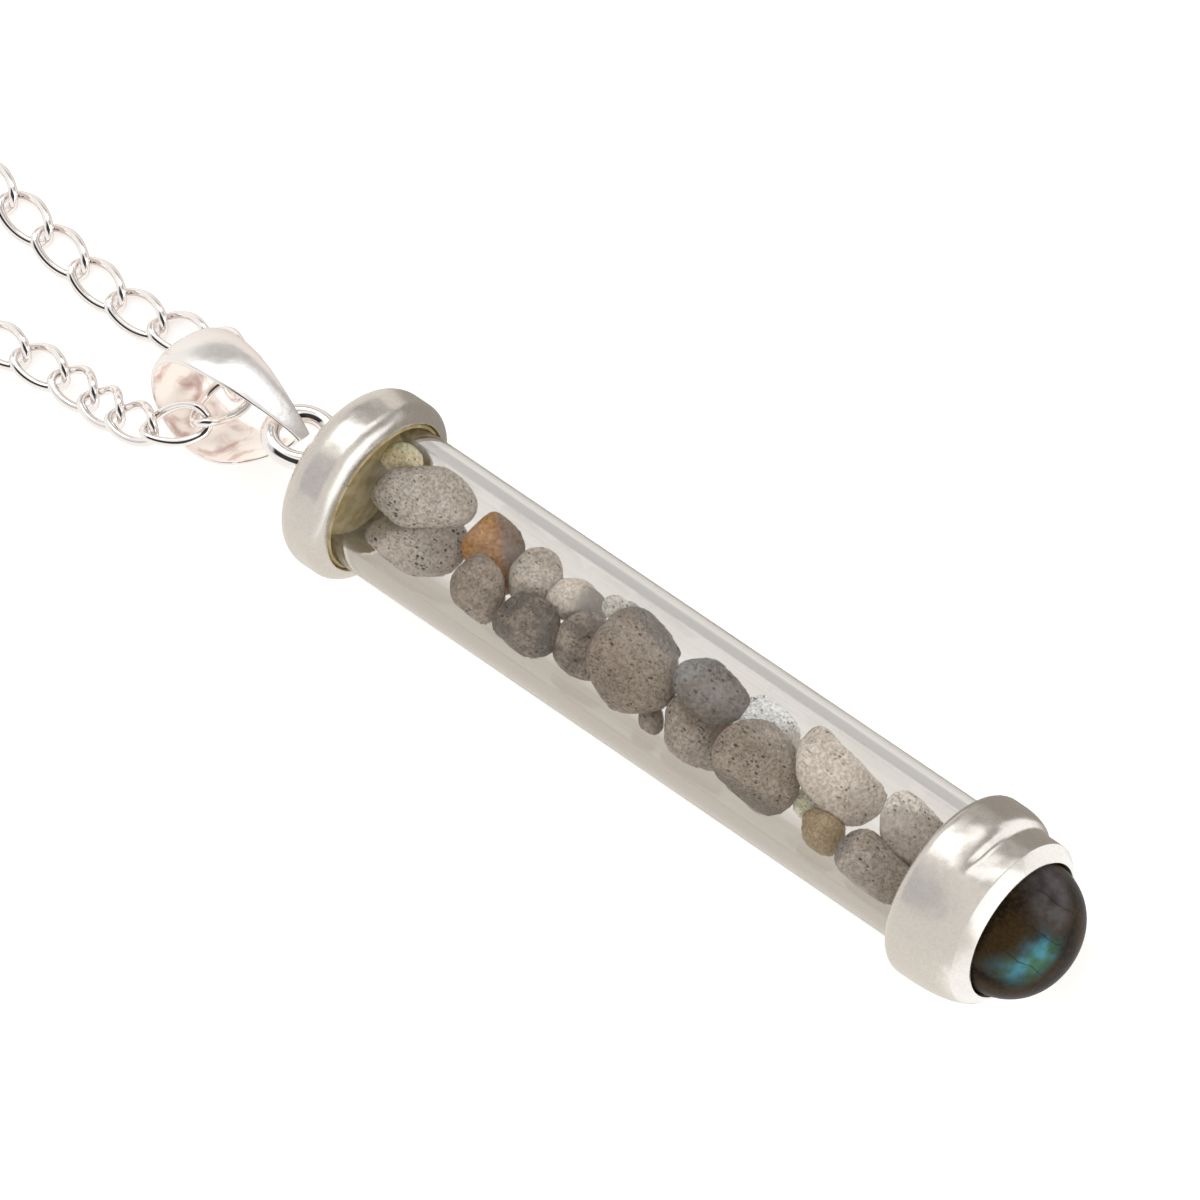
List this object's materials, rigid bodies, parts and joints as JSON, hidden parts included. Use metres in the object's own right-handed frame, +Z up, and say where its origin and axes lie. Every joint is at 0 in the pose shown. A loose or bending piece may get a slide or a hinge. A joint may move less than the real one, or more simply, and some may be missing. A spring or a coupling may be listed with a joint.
{
  "type": "bottle pendant on a chain",
  "caption": "Clear glass tube of tumbled stone chips between rounded metal end caps, one set with a domed stone, the other with a ring, folded bail and curb chain.",
  "frame": {"origin": "centre of the whole piece's box, on the surface that it lies on", "axes": "+X along the tube from the ring to the domed stone, +Z up from the surface"},
  "size_m": [0.2722, 0.0796, 0.0127],
  "materials": {
    "glass": "clear polished",
    "satin_silver": "satin silver plate",
    "polished_silver": "polished silver plate",
    "dark_stone": "polished dark labradorite",
    "chip_stone": "tumbled grey labradorite"
  },
  "bodies": {
    "root": {"glass_tube": "glass", "upper_cap": "satin_silver", "lower_cap": "satin_silver", "cabochon": "dark_stone", "bail": "polished_silver", "chain": "polished_silver", "clasp": "polished_silver", "chip_01": "chip_stone", "chip_02": "chip_stone", "chip_03": "chip_stone", "chip_04": "chip_stone", "chip_05": "chip_stone", "chip_06": "chip_stone", "chip_07": "chip_stone", "chip_08": "chip_stone", "chip_09": "chip_stone", "chip_10": "chip_stone", "chip_11": "chip_stone", "chip_12": "chip_stone", "chip_13": "chip_stone", "chip_14": "chip_stone", "chip_15": "chip_stone", "chip_16": "chip_stone", "chip_17": "chip_stone", "chip_18": "chip_stone", "chip_19": "chip_stone", "chip_20": "chip_stone", "chip_21": "chip_stone", "chip_22": "chip_stone", "chip_23": "chip_stone", "chip_24": "chip_stone"}
  },
  "joints": []
}
